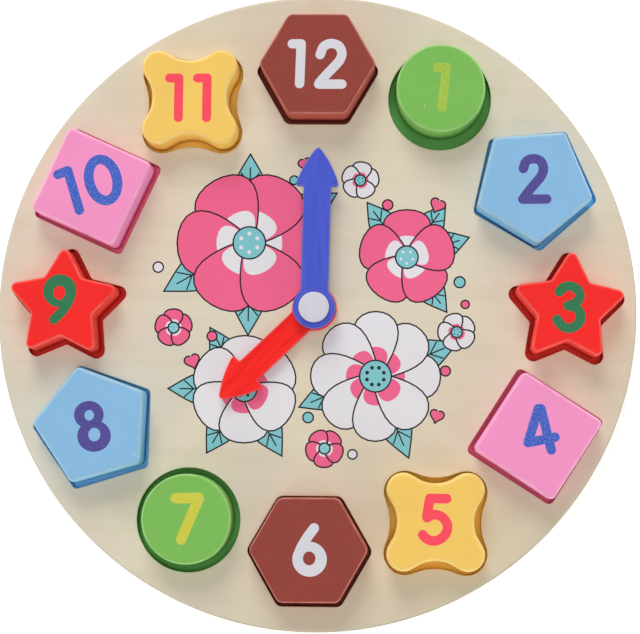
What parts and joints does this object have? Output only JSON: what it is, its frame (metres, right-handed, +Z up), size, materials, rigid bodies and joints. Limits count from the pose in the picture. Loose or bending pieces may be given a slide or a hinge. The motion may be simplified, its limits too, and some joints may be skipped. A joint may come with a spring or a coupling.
{
  "type": "wooden clock puzzle",
  "caption": "Round wooden shape-sorting clock board with loose number blocks in matching cut-outs and two turning plastic hands.",
  "frame": {"origin": "middle of the base board's underside, on the axis of the hands", "axes": "+Z up out of the dial, +Y towards 12 o'clock, +X towards 3 o'clock"},
  "size_m": [0.2298, 0.2298, 0.0183],
  "materials": {
    "base_plywood": "bare sanded plywood",
    "face_plywood": "printed pale plywood with a thin satin lacquer",
    "paint_brown": "satin brown paint on wood",
    "paint_green": "satin green paint on wood",
    "paint_blue": "satin light blue paint on wood",
    "paint_red": "satin red paint on wood",
    "paint_pink": "satin pink paint on wood",
    "paint_yellow": "satin yellow paint on wood",
    "red_plastic": "moulded red plastic",
    "blue_plastic": "moulded blue plastic",
    "white_plastic": "moulded white plastic"
  },
  "bodies": {
    "board": {"base_board": "base_plywood", "face_board": "face_plywood", "hub_button": "white_plastic", "rivet_back": "white_plastic"},
    "hour_hand": {"hour_hand": "red_plastic"},
    "minute_hand": {"minute_hand": "blue_plastic"},
    "block_12": {"block_12_hexagon": "paint_brown"},
    "block_1": {"block_1_round": "paint_green"},
    "block_2": {"block_2_pentagon": "paint_blue"},
    "block_3": {"block_3_star": "paint_red"},
    "block_4": {"block_4_square": "paint_pink"},
    "block_5": {"block_5_lobed": "paint_yellow"},
    "block_6": {"block_6_hexagon": "paint_brown"},
    "block_7": {"block_7_round": "paint_green"},
    "block_8": {"block_8_pentagon": "paint_blue"},
    "block_9": {"block_9_star": "paint_red"},
    "block_10": {"block_10_square": "paint_pink"},
    "block_11": {"block_11_lobed": "paint_yellow"}
  },
  "joints": [
    {"name": "hour_hand_turn", "type": "hinge", "parent": "board", "child": "hour_hand", "pos_m": [0, 0, 0.011], "axis": [0, 0, 1], "continuous": true},
    {"name": "minute_hand_turn", "type": "hinge", "parent": "board", "child": "minute_hand", "pos_m": [0, 0, 0.0145], "axis": [0, 0, 1], "continuous": true},
    {"name": "lift_12", "type": "slide", "parent": "board", "child": "block_12", "axis": [0, 0, 1], "range_m": [0, 0.03]},
    {"name": "lift_1", "type": "slide", "parent": "board", "child": "block_1", "axis": [0, 0, 1], "range_m": [0, 0.03]},
    {"name": "lift_2", "type": "slide", "parent": "board", "child": "block_2", "axis": [0, 0, 1], "range_m": [0, 0.03]},
    {"name": "lift_3", "type": "slide", "parent": "board", "child": "block_3", "axis": [0, 0, 1], "range_m": [0, 0.03]},
    {"name": "lift_4", "type": "slide", "parent": "board", "child": "block_4", "axis": [0, 0, 1], "range_m": [0, 0.03]},
    {"name": "lift_5", "type": "slide", "parent": "board", "child": "block_5", "axis": [0, 0, 1], "range_m": [0, 0.03]},
    {"name": "lift_6", "type": "slide", "parent": "board", "child": "block_6", "axis": [0, 0, 1], "range_m": [0, 0.03]},
    {"name": "lift_7", "type": "slide", "parent": "board", "child": "block_7", "axis": [0, 0, 1], "range_m": [0, 0.03]},
    {"name": "lift_8", "type": "slide", "parent": "board", "child": "block_8", "axis": [0, 0, 1], "range_m": [0, 0.03]},
    {"name": "lift_9", "type": "slide", "parent": "board", "child": "block_9", "axis": [0, 0, 1], "range_m": [0, 0.03]},
    {"name": "lift_10", "type": "slide", "parent": "board", "child": "block_10", "axis": [0, 0, 1], "range_m": [0, 0.03]},
    {"name": "lift_11", "type": "slide", "parent": "board", "child": "block_11", "axis": [0, 0, 1], "range_m": [0, 0.03]}
  ]
}
